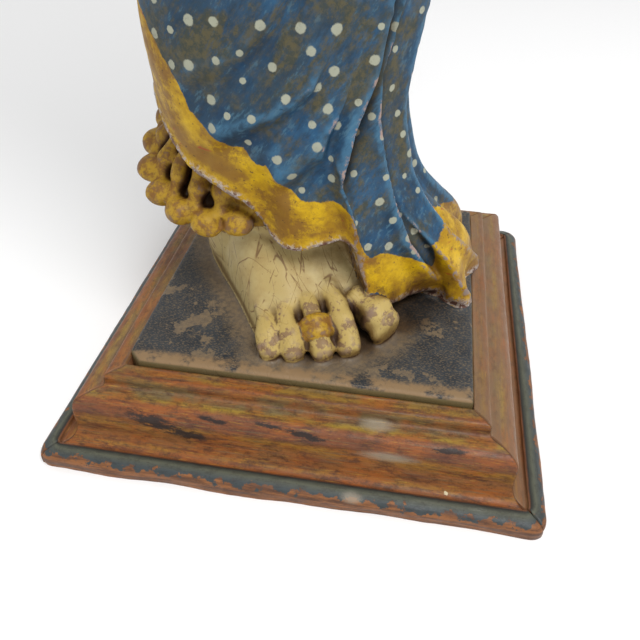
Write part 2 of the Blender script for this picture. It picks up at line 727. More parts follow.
def face_parts():
    front = HEAD_Y - HEAD_DEEP
    parts = [
        limb([
            [0, front + 0.05, head_height(0.58), 0.02, 0.03],
            [0, front + 0.015, head_height(0.45), 0.024, 0.03],
            [0, front + 0.002, head_height(0.34), 0.038, 0.035],
            [0, front + 0.035, head_height(0.29), 0.03, 0.025],
        ], "skin"),
        ball(0.055, (0, front + 0.062, head_height(0.215)), "lip", (1.15, 0.6, 0.3)),
        ball(0.05, (0, front + 0.075, head_height(0.175)), "lip", (1, 0.7, 0.32)),
        ball(0.08, (0, front + 0.14, head_height(0.08)), "skin", (1, 0.7, 0.6)),
    ]
    for side in (-1, 1):
        parts.append(ball(0.05, (side * EYE_X, EYE_FRONT, head_height(EYE_SHARE)), "skin", (1.15, 0.6, 0.5)))
        parts.append(ball(0.07, (side * 0.24, HEAD_Y + 0.03, head_height(0.42)), "skin", (0.4, 0.7, 1.35)))
        parts.append(limb([
            [side * 0.035, front + 0.035, head_height(0.6), 0.014, 0.02],
            [side * 0.1, front + 0.047, head_height(0.63), 0.016, 0.02],
            [side * 0.17, front + 0.1, head_height(0.59), 0.012, 0.02],
        ], "hair", UPWARD, sides=12))
    return parts


def hair_parts():
    hair_middle = (0, HEAD_Y + 0.055, head_height(0.6))
    knot_middle = (0, HEAD_Y + 0.14, KNOT_TOP - KNOT_RADIUS)
    return [
        ball(0.3, hair_middle, "hair", (0.93, 0.97, 1.1), sides=216, rows=40, ridges=36, ridge=0.012),
        ball(KNOT_RADIUS, knot_middle, "hair", sides=108, rows=24, ridges=18, ridge=0.02),
        limb([
            [0, HEAD_Y + 0.16, KNOT_TOP - 0.26, 0.13, 0.13],
            [0, HEAD_Y + 0.15, KNOT_TOP - 0.22, 0.135, 0.135],
            [0, HEAD_Y + 0.14, KNOT_TOP - 0.18, 0.12, 0.12],
        ], "trim", sides=40),
    ]


def neck_part():
    return limb([
        [0.01, -0.01, 4.3, 0.17, 0.17],
        [0.005, -0.02, 4.43, 0.14, 0.14],
        [0, -0.02, 4.68, 0.13, 0.13],
    ], "skin", sides=40)


def figure_parts():
    return [
        block_part(),
        skirt_part(),
        torso_part(),
        foot_part(),
        ankle_part(),
        *toe_parts(),
        *anklet_parts(),
        *sash_parts(),
        *arm_parts(-1),
        *arm_parts(1),
        neck_part(),
        head_part(),
        *face_parts(),
        *hair_parts(),
    ]


def new_object(name, points, faces):
    mesh = bpy.data.meshes.new(name)
    mesh.from_pydata([tuple(p) for p in points], [], faces)
    mesh.update()
    piece = bpy.data.objects.new(name, mesh)
    bpy.context.scene.collection.objects.link(piece)
    return piece


def apply_modifiers(piece):
    graph = bpy.context.evaluated_depsgraph_get()
    mesh = bpy.data.meshes.new_from_object(piece.evaluated_get(graph), depsgraph=graph)
    old = piece.data
    piece.modifiers.clear()
    piece.data = mesh
    bpy.data.meshes.remove(old)


def positions(mesh):
    flat = np.empty(len(mesh.vertices) * 3)
    mesh.vertices.foreach_get("co", flat)
    return flat.reshape(-1, 3)


def normals(mesh):
    flat = np.empty(len(mesh.vertices) * 3)
    mesh.vertices.foreach_get("normal", flat)
    return flat.reshape(-1, 3)


def edge_ends(mesh):
    flat = np.empty(len(mesh.edges) * 2, dtype=np.int64)
    mesh.edges.foreach_get("vertices", flat)
    return flat.reshape(-1, 2).T


def neighbour_mean(mesh, values, times):
    """Values averaged over each vertex's neighbours, several times over."""
    a, b = edge_ends(mesh)
    size = len(values)
    count = np.bincount(a, minlength=size) + np.bincount(b, minlength=size)
    result = values.astype(float)
    for _ in range(times):
        columns = [np.bincount(a, own[b], size) + np.bincount(b, own[a], size) for own in result.T]
        result = np.stack(columns, -1) / count[:, None]
    return result


def edge_lengths(mesh, place):
    """The mean length of the edges round each vertex."""
    a, b = edge_ends(mesh)
    size = len(place)
    length = np.linalg.norm(place[a] - place[b], axis=1)
    total = np.bincount(a, length, size) + np.bincount(b, length, size)
    return total / (np.bincount(a, minlength=size) + np.bincount(b, minlength=size))


def set_attribute(mesh, name, values):
    mesh.attributes.new(name, "FLOAT", "POINT").data.foreach_set("value", np.asarray(values, float))


VOXEL = 1.25 * MM
TRIANGLE_BUDGET = 190000

# Heights with the edge length wanted there
EDGES_WANTED = np.array([
    [BLOCK_HEIGHT - 8 * MM, 12 * MM],
    [BLOCK_HEIGHT - 4 * MM, VOXEL],
    [BLOCK_HEIGHT + 0.55 * U, VOXEL],
    [BLOCK_HEIGHT + 1.1 * U, 4.2 * MM],
    [BLOCK_HEIGHT + 2.75 * U, 4.5 * MM],
    [BLOCK_HEIGHT + 3.0 * U, 3 * MM],
    [BLOCK_HEIGHT + 4.3 * U, 3 * MM],
    [BLOCK_HEIGHT + 4.5 * U, 2.1 * MM],
])
BLOCK_TOP_EDGES = 3.2 * MM
BLOCK_TOP_NEAR = 0.6 * MM

# Decimation keeps what weighs least: the finest edges' weight is 1 less this share
FINE_WEIGHT = 0.94
WEIGHT_STEPS = 40
LEAST_WEIGHT = 0.02
WEIGHT_FACTOR = 4

# Knife marks: depth, waves to the metre and shift of each noise
DENTS = ((0.30 * MM, 60, 0), (0.14 * MM, 190, 5))
DENTS_FADE = (0.5 * MM, 4 * MM)

# Height over the block at which its paint gives way to the foot's
CONTACT = 1.3 * MM

# Openness, from short rays that lean outwards
RAY_COUNT = 12
RAY_REACH = 28 * MM
RAY_START = 0.8 * MM
RAY_LEAN = 1.05

# Edges, from each point's place against the mean of its neighbours, in rounds
NEAR_ROUNDS = 3
FAR_ROUNDS = 14
COARSE_POWER = 1.6

# Dots: shares of their spacing and of their radius
DOT_ROW_SHARE = 0.8
DOT_DRIFT = 0.12
DOT_SIZES = (0.75, 1.2)
FAR_AWAY = 99.0
FOOT_BELOW = BLOCK_HEIGHT + 0.7 * U

# Closed eyes: how far the line lies under the lid's middle, half its length, and its sag per mm
LID_DROP = 3.4 * MM
LID_HALF = 9.5 * MM
LID_DROOP = 0.02
SEED = 7


def join_parts(parts):
    points = []
    faces = []
    count = 0
    for part in parts:
        points.append(part.points * U + (0, 0, BLOCK_HEIGHT))
        faces.extend(tuple(int(k) + count for k in face) for face in part.faces)
        count += len(part.points)
    return np.vstack(points), faces


def dent(mesh):
    """Knife marks and shallow dents, fading out towards the floor."""
    place = positions(mesh)
    depth = sum(size * noise_at(place, scale, seed) for size, scale, seed in DENTS)
    depth = depth * smooth(*DENTS_FADE, place[:, 2])
    place = place + normals(mesh) * depth[:, None]
    place[:, 2] = np.maximum(place[:, 2], 0)
    mesh.vertices.foreach_set("co", place.ravel())
    mesh.update()


def thin_out(piece):
    """Fewer triangles where the carving is plain, by the edge length wanted at each height."""
    height = positions(piece.data)[:, 2]
    wanted = np.interp(height, EDGES_WANTED[:, 0], EDGES_WANTED[:, 1])
    wanted = np.where(np.abs(height - BLOCK_HEIGHT) < BLOCK_TOP_NEAR, BLOCK_TOP_EDGES, wanted)
    step = np.round((1 - FINE_WEIGHT * VOXEL / wanted) * WEIGHT_STEPS)
    group = piece.vertex_groups.new(name="plain")
    for k in range(WEIGHT_STEPS + 1):
        group.add(np.nonzero(step == k)[0].tolist(), max(k / WEIGHT_STEPS, LEAST_WEIGHT), "REPLACE")
    decimate = piece.modifiers.new("Decimate", "DECIMATE")
    decimate.ratio = min(1, TRIANGLE_BUDGET / (2 * len(piece.data.polygons)))
    decimate.vertex_group = "plain"
    decimate.vertex_group_factor = WEIGHT_FACTOR
    apply_modifiers(piece)
    piece.vertex_groups.clear()


def tree_of(points):
    tree = kdtree.KDTree(len(points))
    for index, point in enumerate(points):
        tree.insert(point, index)
    tree.balance()
    return tree


def openness(mesh, place, outward):
    """The share of short rays that leave each point without meeting the carving again."""
    faces = [tuple(face.vertices) for face in mesh.polygons]
    tree = BVHTree.FromPolygons([tuple(p) for p in place], faces)
    rng = np.random.default_rng(SEED)
    spread = rng.normal(size=(RAY_COUNT, 3))
    spread /= np.linalg.norm(spread, axis=1, keepdims=True)
    free = np.zeros(len(place))
    for ray in spread:
        away = outward * RAY_LEAN + ray
        away /= np.linalg.norm(away, axis=1, keepdims=True)
        start = place + outward * RAY_START
        free += [tree.ray_cast(a, b, RAY_REACH)[0] is None for a, b in zip(start.tolist(), away.tolist())]
    return free / RAY_COUNT


def dot_places(part, rng):
    """Staggered rows of painted dots over a dotted part, each moved a little by hand."""
    rings = part.rings * U
    over = part.over_border.reshape(rings.shape[:2]) * U
    rise = np.linalg.norm(np.diff(rings, axis=0), axis=2).mean(1)
    up = np.concatenate([[0], np.cumsum(rise)])
    centres = []
    for row, at in enumerate(np.arange(DOT_SPACING / 2, up[-1], DOT_SPACING * DOT_ROW_SHARE)):
        ring = rings[min(np.searchsorted(up, at), len(rings) - 1)]
        step = np.linalg.norm(np.roll(ring, -1, 0) - ring, axis=1)
        along = np.cumsum(step)
        for target in np.arange((row % 2) * DOT_SPACING / 2, along[-1], DOT_SPACING):
            across = np.searchsorted(along, target + rng.normal(0, DOT_SPACING * DOT_DRIFT)) % len(ring)
            high = np.searchsorted(up, at + rng.normal(0, DOT_SPACING * DOT_DRIFT))
            high = int(np.clip(high, 0, len(rings) - 1))
            if over[high, across] > DOT_RADIUS * 1.4:
                centres.append(rings[high, across] + (0, 0, BLOCK_HEIGHT))
    apart = []
    for centre in centres:
        if not apart or np.linalg.norm(np.array(apart) - centre, axis=1).min() > DOT_CLEARANCE:
            apart.append(centre)
    return apart


def mark_dots(mesh, place, centres, sizes):
    """On each corner of a face, its place from the dot nearest to that face, in the dot's own radii."""
    corners = np.empty(len(mesh.loops), dtype=np.int32)
    mesh.loops.foreach_get("vertex_index", corners)
    counts = np.empty(len(mesh.polygons), dtype=np.int32)
    mesh.polygons.foreach_get("loop_total", counts)
    middles = np.empty(len(mesh.polygons) * 3)
    mesh.polygons.foreach_get("center", middles)
    dots = tree_of(centres)
    nearest = np.repeat([dots.find(p)[1] for p in middles.reshape(-1, 3)], counts)
    offset = (place[corners] - centres[nearest]) / sizes[nearest, None]
    mesh.attributes.new("dot_offset", "FLOAT_VECTOR", "CORNER").data.foreach_set("vector", offset.ravel())


def mark_shape(mesh, place):
    """How far each point stands out, close by and over a wider stretch, and how open it lies."""
    outward = normals(mesh)
    coarse = np.maximum(edge_lengths(mesh, place) / VOXEL, 1) ** COARSE_POWER
    for name, rounds in (("edge_near", NEAR_ROUNDS), ("edge_far", FAR_ROUNDS)):
        out = np.sum((place - neighbour_mean(mesh, place, rounds)) * outward, 1)
        set_attribute(mesh, name, out / MM / coarse)
    free = openness(mesh, place, outward)
    set_attribute(mesh, "openness", neighbour_mean(mesh, free[:, None], 2)[:, 0])


def mark_paints(mesh, place, parts, source):
    """Which paint each point has, from the parts' own points. Gives back the points of bare skin."""
    paint = np.concatenate([part.paint for part in parts])
    tree = tree_of(source)
    found = [tree.find_n(p, 3) for p in place]
    index = np.array([[hit[1] for hit in hits] for hits in found])
    weight = 1 / (np.array([[hit[2] for hit in hits] for hits in found]) + 0.1 * MM)
    weight *= paint[index] == paint[index[:, :1]]
    weight /= weight.sum(1, keepdims=True)
    own = paint[index[:, 0]]
    masks = np.stack([(own == k).astype(float) for k in range(len(PAINTS))], -1)
    masks = neighbour_mean(mesh, masks, 1)
    on_block = 1 - smooth(0.3 * CONTACT, 1.7 * CONTACT, place[:, 2] - BLOCK_HEIGHT)
    slab = PAINTS.index("block")
    masks[:, slab] = np.maximum(masks[:, slab] * (on_block > 0), on_block)
    for k, name in enumerate(PAINTS):
        set_attribute(mesh, "paint_" + name, masks[:, k])
    for name in ("over_border", "over_hem"):
        over = np.concatenate([getattr(part, name) for part in parts]) * U / MM
        set_attribute(mesh, name, np.sum(over[index] * weight, 1))
    return place[(own == PAINTS.index("skin")) & (on_block < 0.5)]


def mark_foot(mesh, place, skin):
    """How far each point of the block lies from the bare foot, and how far forward on the toes."""
    foot = tree_of(skin)
    low = place[:, 2] < FOOT_BELOW
    reach = np.full(len(place), FAR_AWAY)
    reach[low] = [foot.find(p)[2] / MM for p in place[low]]
    set_attribute(mesh, "from_foot", reach)
    forward = (place[:, 0] * math.sin(FOOT_TURN) - place[:, 1] * math.cos(FOOT_TURN)) / U
    set_attribute(mesh, "toe", smooth(TOES_FROM, TOES_TO, forward) * low)


def mark_lids(mesh, place):
    """How far each point lies from the two drooping lines of the closed eyes."""
    lid = head_height(EYE_SHARE) * U + BLOCK_HEIGHT - LID_DROP
    aside = np.abs(np.abs(place[:, 0]) - EYE_X * U)
    line = np.abs(place[:, 2] - lid - LID_DROOP * aside ** 2 / MM)
    line = line + np.maximum(aside - LID_HALF, 0) * 2
    line = np.where(place[:, 1] < (HEAD_Y - 0.1) * U, line, 1)
    set_attribute(mesh, "from_lid", line / MM)


def mark(mesh, parts, source):
    """Writes on each point what the paint needs to know."""
    place = positions(mesh)
    mark_shape(mesh, place)
    skin = mark_paints(mesh, place, parts, source)
    rng = np.random.default_rng(SEED)
    centres = np.array([spot for part in parts if part.dotted for spot in dot_places(part, rng)])
    mark_dots(mesh, place, centres, DOT_RADIUS * rng.uniform(*DOT_SIZES, len(centres)))
    mark_foot(mesh, place, skin)
    mark_lids(mesh, place)


def carved_figure():
    parts = figure_parts()
    source, faces = join_parts(parts)
    piece = new_object("carved_figure_relief", source, faces)
    remesh = piece.modifiers.new("Remesh", "REMESH")
    remesh.mode = "VOXEL"
    remesh.voxel_size = VOXEL
    apply_modifiers(piece)
    dent(piece.data)
    thin_out(piece)
    mark(piece.data, parts, source)
    piece.data.polygons.foreach_set("use_smooth", np.ones(len(piece.data.polygons), dtype=bool))
    return piece


# Mouldings: the section of the solids, its corners worn, swept from mitre to mitre
PROFILE_STEP = 0.8 * MM
SWEEP_STEP = 1.0 * MM
CURVE_POINTS = 9
TORUS_FROM = 60 * MM
TORUS_WEAR_FROM = 68 * MM
TORUS_EASE = 6 * MM
CORNER_ROUND = 1.5 * MM
TORUS_CORNER_ROUND = 9 * MM

# Noises over the mouldings, by stretch, scale and shift: waves, small dents and wear of the foot
MOULDING_NOISES = (((0.3, 1, 1), 45, 0), ((1, 1, 1), 160, 3), ((1, 0, 1), 28, 9))
WAVE_DEPTH = 0.4 * MM
DENT_DEPTH = 0.16 * MM
SIDES_APART = 500


def bend(start, corner, end):
    t = np.linspace(0, 1, CURVE_POINTS)[:, None]
    return (1 - t) ** 2 * np.array(start) + 2 * t * (1 - t) * np.array(corner) + t ** 2 * np.array(end)


def moulding_section():
    """The visible side of the section, evenly stepped from its inner top edge out and down."""
    top = BLOCK_HEIGHT - STANDS_PROUD
    quirk = top - NOSING_RISE
    inner = NOSING_WIDTH + QUIRK_WIDTH
    ovolo = inner + OVOLO_WIDTH
    hollow = quirk - OVOLO_RISE
    groove = ovolo + CAVETTO_WIDTH
    torus = GROOVE_HEIGHT + GROOVE_DEPTH
    foot = groove + TORUS_WIDTH
    outline = np.vstack([
        [(0, top)],
        bend((NOSING_WIDTH - NOSING_ROUND, top), (NOSING_WIDTH, top), (NOSING_WIDTH, top - NOSING_ROUND)),
        [(NOSING_WIDTH, quirk)],
        bend((inner, quirk), (ovolo, quirk), (ovolo, quirk - OVOLO_WIDTH)),
        bend((ovolo, hollow), (ovolo, GROOVE_HEIGHT), (groove, GROOVE_HEIGHT)),
        bend((groove, torus), (foot, torus), (foot, torus * 0.35)),
        [(foot, 0)],
    ])
    arc = np.concatenate([[0], np.cumsum(np.linalg.norm(np.diff(outline, axis=0), axis=1))])
    even = np.linspace(0, arc[-1], int(arc[-1] / PROFILE_STEP) + 1)
    section = np.stack([np.interp(even, arc, outline[:, k]) for k in (0, 1)], -1)
    for _ in range(2):
        section[1:-1] = 0.25 * section[:-2] + 0.5 * section[1:-1] + 0.25 * section[2:]
    return section, even


# Marks on the front moulding, in mm: place along it, place down its section, and half sizes
SMUDGES = (
    (-67, 35, 19, 6.5, -0.3),
    (-52, 40, 15, 5, -0.2),
    (-37, 28, 10, 1.8, -0.1),
    (11, 29.5, 13, 3, -0.15),
    (-8, 27, 9, 1.6, -0.1),
    (80, 27.2, 11, 2, 0.1),
)
PALE_PATCHES = ((44, 18, 13, 6, 0.0), (51, 36.5, 22, 5.5, 0.0), (36, 68, 8, 5, 0.0))
CREAM_SPOT = (81.7, 54.0)
CREAM_SPOT_RADIUS = 1.1
SPOT_BLUR = 0.15
PALENESS = {"front": 0.0, "right": 0.75, "back": 0.35, "left": 0.25}


def nearness(along, arc, marks):
    """1 in the middle of the nearest mark, 0 on its rim and outside."""
    best = np.zeros(np.broadcast(along, arc).shape)
    for middle, down, half_along, half_down, slope in marks:
        off = arc - down - slope * -(along - middle)
        best = np.maximum(best, 1 - np.hypot((along - middle) / half_along, off / half_down))
    return best


def moulding_rings(section, arc, quarter_turns):
    """Rings from mitre to mitre, their corners rounded, their faces dented and their foot worn."""
    inside = BLOCK_WIDTH / 2 + SEAT_GAP
    steps = int(2 * inside / SWEEP_STEP)
    share = np.linspace(-1, 1, steps)[:, None]
    tangent = np.gradient(section, axis=0)
    tangent /= np.linalg.norm(tangent, axis=1, keepdims=True)
    inward = np.stack([tangent[:, 1], -tangent[:, 0]], -1)
    reach = inside + section[None, :, 0]
    along = share * (reach - MITRE_GAP)
    torus = smooth(TORUS_FROM, TORUS_FROM + TORUS_EASE, arc)
    corner = CORNER_ROUND + (TORUS_CORNER_ROUND - CORNER_ROUND) * torus
    bent = np.clip((np.abs(along) - (reach - corner)) / corner, 0, 1) * math.pi / 4
    rounded = corner * (1 - np.cos(bent))
    turned = reach - corner * (1 - np.sin(bent)) - MITRE_GAP
    along = np.sign(along) * np.where(bent > 0, turned, np.abs(along))
    spots = np.stack(np.broadcast_arrays(along, 3 * arc[None, :] + quarter_turns, 0.0), -1).reshape(-1, 3)
    noises = [noise_at(spots * stretch, scale, seed) for stretch, scale, seed in MOULDING_NOISES]
    waves, small, worn = (own.reshape(along.shape) for own in noises)
    depth = WAVE_DEPTH * (1 + waves) + DENT_DEPTH * (1 + small)
    depth = depth + smooth(TORUS_WEAR_FROM, arc[-1], arc) * (0.9 + 1.6 * worn).clip(0, 3) * MM
    depth = depth * smooth(0, 2 * MM, arc)
    out = np.clip(reach - inside - rounded + inward[:, 0] * depth, 0, None)
    high = np.clip(section[None, :, 1] + inward[:, 1] * depth, 0, None)
    ring = np.stack([along, -(inside + out), high], -1)
    foot = np.stack([share[:, 0] * (inside - MITRE_GAP), np.full(steps, -inside), np.zeros(steps)], -1)
    return np.concatenate([ring, foot[:, None]], 1), reach.max()


def moulding(name, quarter_turns):
    section, arc = moulding_section()
    rings, reach = moulding_rings(section, arc, quarter_turns)
    steps, count, _ = rings.shape
    faces = [tuple(face) for face in ring_faces(steps, count)]
    faces.append(tuple(range(count - 1, -1, -1)))
    faces.append(tuple(range((steps - 1) * count, steps * count)))
    turn = Matrix.Rotation(quarter_turns * math.pi / 2, 3, "Z")
    piece = new_object(f"moulding_{name}_relief", rings.reshape(-1, 3) @ np.array(turn).T, faces)
    along = rings[:, :, 0] / MM
    down = np.broadcast_to(np.append(arc, arc[-1] + 1) / MM, along.shape)
    marked = 1.0 if name == "front" else 0.0
    attributes = {
        "down": down,
        "along": along + SIDES_APART * quarter_turns,
        "smudge": nearness(along, down, SMUDGES) * marked,
        "pale_patch": nearness(along, down, PALE_PATCHES) * marked,
        "from_spot": np.hypot(along - CREAM_SPOT[0], down - CREAM_SPOT[1]) + FAR_AWAY * (1 - marked),
        "paleness": np.full(along.shape, PALENESS[name]),
        "from_mitre": reach / MM - np.abs(along),
    }
    for key, values in attributes.items():
        set_attribute(piece.data, key, values.ravel())
    piece.data.polygons.foreach_set("use_smooth", np.ones(len(piece.data.polygons), dtype=bool))
    return piece


# Colours are written as the photograph shows them, whose light is a little stronger than this scene's
PAINT_DEPTH = 0.78


def srgb(red, green, blue):
    """A colour as it looks on a screen, 0 to 255, turned into light."""
    return (*[PAINT_DEPTH * ((value / 255 + 0.055) / 1.055) ** 2.4 for value in (red, green, blue)], 1)


CRACK_STRETCH = 7
CRACK_WIDTH = 0.009
FOLD_LEAN = math.radians(38)
FOLD_STRETCH = 3.2
STRIP_FROM = 80 * MM
STRIP_FULL = 85 * MM


class Shader:
    """One material in the making: each call adds a node and gives back its output."""

    def __init__(self, name):
        self.material = bpy.data.materials.new(name)
        self.material.use_nodes = True
        self.tree = self.material.node_tree
        self.surface = self.tree.nodes["Principled BSDF"]
        self.place = self.add("ShaderNodeTexCoord", {}).outputs["Object"]

    def add(self, kind, inputs, **settings):
        node = self.tree.nodes.new(kind)
        for key, value in settings.items():
            setattr(node, key, value)
        for key, value in inputs.items():
            self.plug(node.inputs[key], value)
        return node

    def plug(self, socket, value):
        if isinstance(value, bpy.types.NodeSocket):
            self.tree.links.new(value, socket)
        else:
            socket.default_value = value

    def attribute(self, name, output="Fac"):
        return self.add("ShaderNodeAttribute", {}, attribute_name=name).outputs[output]

    def math(self, operation, a, b=0.0):
        return self.add("ShaderNodeMath", {0: a, 1: b}, operation=operation).outputs[0]

    def fade(self, value, start, end, low=0.0, high=1.0):
        inputs = {"Value": value, "From Min": start, "From Max": end, "To Min": low, "To Max": high}
        return self.add("ShaderNodeMapRange", inputs, interpolation_type="SMOOTHSTEP").outputs[0]

    def noise(self, scale, detail=4.0, rough=0.6, at=None):
        inputs = {"Vector": at or self.place, "Scale": scale, "Detail": detail, "Roughness": rough}
        return self.add("ShaderNodeTexNoise", inputs).outputs["Fac"]

    def spots(self, scale, detail, rough, offset, start, end, low=0.0, high=1.0):
        return self.fade(self.noise(scale, detail, rough, self.moved(offset)), start, end, low, high)

    def wander(self, value, noise_used, reach):
        """The value moved up and down by a noise, so that what it bounds has an uneven edge."""
        return self.math("ADD", value, self.both(self.math("SUBTRACT", noise_used, 0.5), reach))

    def frayed(self, value, share):
        return self.wander(value, self.fine, 2 * share)

    def most(self, a, b):
        return self.math("MAXIMUM", a, b)

    def moved(self, offset=(0, 0, 0), scale=(1, 1, 1), at=None):
        inputs = {"Vector": at or self.place, "Location": offset, "Scale": scale}
        return self.add("ShaderNodeMapping", inputs).outputs[0]

    def mix(self, share, a, b, blend="MIX"):
        node = self.add("ShaderNodeMix", {0: share}, data_type="RGBA", blend_type=blend)
        self.plug(node.inputs[6], a)
        self.plug(node.inputs[7], b)
        return node.outputs[2]

    def both(self, a, b):
        return self.math("MULTIPLY", a, b)

    def ramp(self, value, stops):
        node = self.add("ShaderNodeValToRGB", {"Fac": value})
        elements = node.color_ramp.elements
        while len(elements) < len(stops):
            elements.new(1.0)
        for element, (position, colour) in zip(elements, stops):
            element.position = position
            element.color = colour
        return node.outputs[0]

    def finish(self, colour, roughness, specular, height, strength, distance):
        bump = self.add("ShaderNodeBump", {"Height": height, "Strength": strength, "Distance": distance})
        self.plug(self.surface.inputs["Base Color"], colour)
        self.plug(self.surface.inputs["Roughness"], roughness)
        self.plug(self.surface.inputs["Normal"], bump.outputs[0])
        self.surface.inputs["Specular IOR Level"].default_value = specular
        return self.material


def cracks(shader, scale, turn, seed):
    """Thin broken lines that run mostly one way: the level lines of stretched noise."""
    at = shader.add("ShaderNodeMapping", {
        "Vector": shader.place, "Rotation": (0, 0, turn), "Scale": (1, CRACK_STRETCH, CRACK_STRETCH),
        "Location": seed,
    }, vector_type="TEXTURE").outputs[0]
    off = shader.math("ABSOLUTE", shader.math("SUBTRACT", shader.noise(scale, 1.4, 0.4, at), 0.5))
    broken = shader.spots(scale * 1.6, 2, 0.5, seed, 0.36, 0.5)
    return shader.both(shader.fade(off, 0.0, CRACK_WIDTH, 1.0, 0.0), broken)


def robe_paint(shader):
    """Blue with streaks, brown stains, paler ridges, painted dots and rubbed edges."""
    mix, fade, both = shader.mix, shader.fade, shader.both
    along_folds = shader.add("ShaderNodeMapping", {
        "Vector": shader.place, "Rotation": (0, FOLD_LEAN, 0), "Scale": (1, 1, FOLD_STRETCH),
    }, vector_type="TEXTURE").outputs[0]
    streak = shader.noise(95, 4, 0.65, along_folds)
    scratch = shader.noise(290, 4, 0.7, along_folds)
    blue = mix(fade(shader.patch, 0.35, 0.65), srgb(22, 62, 94), srgb(36, 90, 130))
    blue = mix(fade(streak, 0.4, 0.68, 0.0, 0.75), blue, srgb(40, 66, 84))
    blue = mix(fade(shader.edge_far, 0.1, 0.9, 0.0, 0.6), blue, srgb(78, 132, 166))
    blue = mix(fade(scratch, 0.5, 0.66, 0.0, 0.55), blue, srgb(22, 48, 70))
    blue = mix(fade(scratch, 0.46, 0.34, 0.0, 0.45), blue, srgb(92, 136, 158))
    stain = shader.spots(24, 5, 0.7, (7, 2, 5), 0.42, 0.58, 0.0, 0.95)
    stain = both(stain, fade(shader.noise(90, 6, 0.8, along_folds), 0.4, 0.56, 0.15, 1.0))
    stain = both(stain, fade(shader.edge_far, 0.9, 0.1, 0.25, 1.0))
    soil = mix(fade(shader.fine, 0.4, 0.6), srgb(96, 88, 58), srgb(66, 70, 58))
    blue = mix(stain, blue, soil)
    offset = shader.attribute("dot_offset", "Vector")
    length = shader.add("ShaderNodeVectorMath", {0: offset}, operation="LENGTH").outputs["Value"]
    dot = fade(shader.frayed(length, 0.45), 1.12, 0.8)
    dot = both(dot, fade(shader.fine, 0.25, 0.45, 0.45, 0.9))
    blue = mix(dot, blue, srgb(184, 186, 164))
    rubbed = fade(shader.frayed(shader.edge_near, 0.3), 0.3, 0.5)
    rubbed = both(rubbed, fade(shader.blotch, 0.5, 0.58))
    return mix(rubbed, blue, srgb(176, 150, 140))


def border_paints(shader):
    """The hem's yellow, with brown patches, red strokes and a worn rim, and the trim's, which is browner."""
    mix, fade, both = shader.mix, shader.fade, shader.both
    over_hem = shader.frayed(shader.attribute("over_hem"), 3.0)
    yellow = mix(fade(shader.blotch, 0.35, 0.62), srgb(230, 186, 0), srgb(186, 142, 12))
    band = both(fade(over_hem, 5.0, 11.0), fade(over_hem, 27.0, 17.0))
    band = both(band, shader.spots(34, 5, 0.7, (8, 3, 3), 0.4, 0.56, 0.0, 0.85))
    rust = shader.most(shader.spots(40, 6, 0.75, (1, 9, 4), 0.48, 0.6, 0.0, 0.85), band)
    yellow = mix(rust, yellow, srgb(140, 96, 34))
    soiled = shader.spots(110, 6, 0.8, (6, 1, 2), 0.52, 0.64, 0.0, 0.6)
    soiled = both(soiled, fade(shader.free, 1.0, 0.6, 0.4, 1.0))
    yellow = mix(soiled, yellow, srgb(98, 66, 40))
    stroke = shader.noise(210, 2, 0.5, shader.moved((3, 5, 8), (0.45, 1, 2.2)))
    stroke = both(fade(stroke, 0.66, 0.7, 0.0, 0.7), fade(shader.patch, 0.5, 0.6))
    yellow = mix(stroke, yellow, srgb(176, 66, 34))
    speck = shader.spots(520, 2, 0.5, (4, 4, 1), 0.66, 0.72, 0.0, 0.7)
    yellow = mix(speck, yellow, srgb(84, 58, 36))
    rim = both(fade(over_hem, 6.5, 2.5), fade(shader.mottle, 0.42, 0.5))
    worn = mix(fade(shader.mottle, 0.5, 0.56), srgb(198, 188, 180), srgb(112, 78, 66))
    yellow = mix(rim, yellow, worn)
    chipped = both(fade(shader.edge_near, 0.12, 0.3), fade(shader.fine, 0.45, 0.55))
    yellow = mix(chipped, yellow, srgb(150, 132, 124))
    trim = mix(rust, mix(chipped, yellow, srgb(140, 118, 104)), srgb(128, 74, 40))
    return yellow, trim


def skin_paint(shader, line):
    """Cream with hair cracks, yellower worn toes and dark gaps between them."""
    mix, fade, both = shader.mix, shader.fade, shader.both
    cream = mix(fade(shader.patch, 0.35, 0.65), srgb(210, 192, 138), srgb(196, 172, 112))
    cream = mix(fade(shader.blotch, 0.45, 0.75, 0.0, 0.5), cream, srgb(166, 134, 82))
    cream = mix(line, cream, srgb(122, 86, 54))
    toe = shader.attribute("toe")
    worn_toe = shader.spots(120, 5, 0.7, (5, 2, 9), 0.53, 0.58)
    toe_colour = mix(worn_toe, srgb(200, 172, 98), srgb(138, 106, 78))
    cream = mix(fade(shader.frayed(toe, 0.3), 0.3, 0.8, 0.0, 0.8), cream, toe_colour)
    gaps = both(fade(shader.edge_far, -0.2, -0.8, 0.0, 0.9), toe)
    cream = mix(gaps, cream, srgb(78, 48, 32))
    fleck = shader.spots(420, 2, 0.5, (0, 0, 0), 0.68, 0.73, 0.0, 0.5)
    cream = mix(fleck, cream, srgb(120, 86, 58))
    worn = fade(shader.edge_near, 0.14, 0.34)
    worn = both(worn, fade(shader.blotch, 0.48, 0.56, 0.0, 0.7))
    return mix(worn, cream, srgb(150, 124, 104))


def gold_paint(shader):
    """Orange yellow, mottled, rubbed to grey on the crowns and nearly black in the holes."""
    mix, fade, both = shader.mix, shader.fade, shader.both
    gold = mix(fade(shader.mottle, 0.42, 0.6), srgb(190, 150, 40), srgb(142, 98, 38))
    gold = mix(fade(shader.fine, 0.5, 0.7, 0.0, 0.6), gold, srgb(112, 76, 40))
    rubbed = fade(shader.edge_near, 0.1, 0.5)
    rubbed = both(rubbed, fade(shader.mottle, 0.5, 0.6, 0.0, 0.6))
    gold = mix(rubbed, gold, srgb(140, 126, 118))
    return mix(fade(shader.free, 0.75, 0.35, 0.0, 0.85), gold, srgb(84, 54, 32))


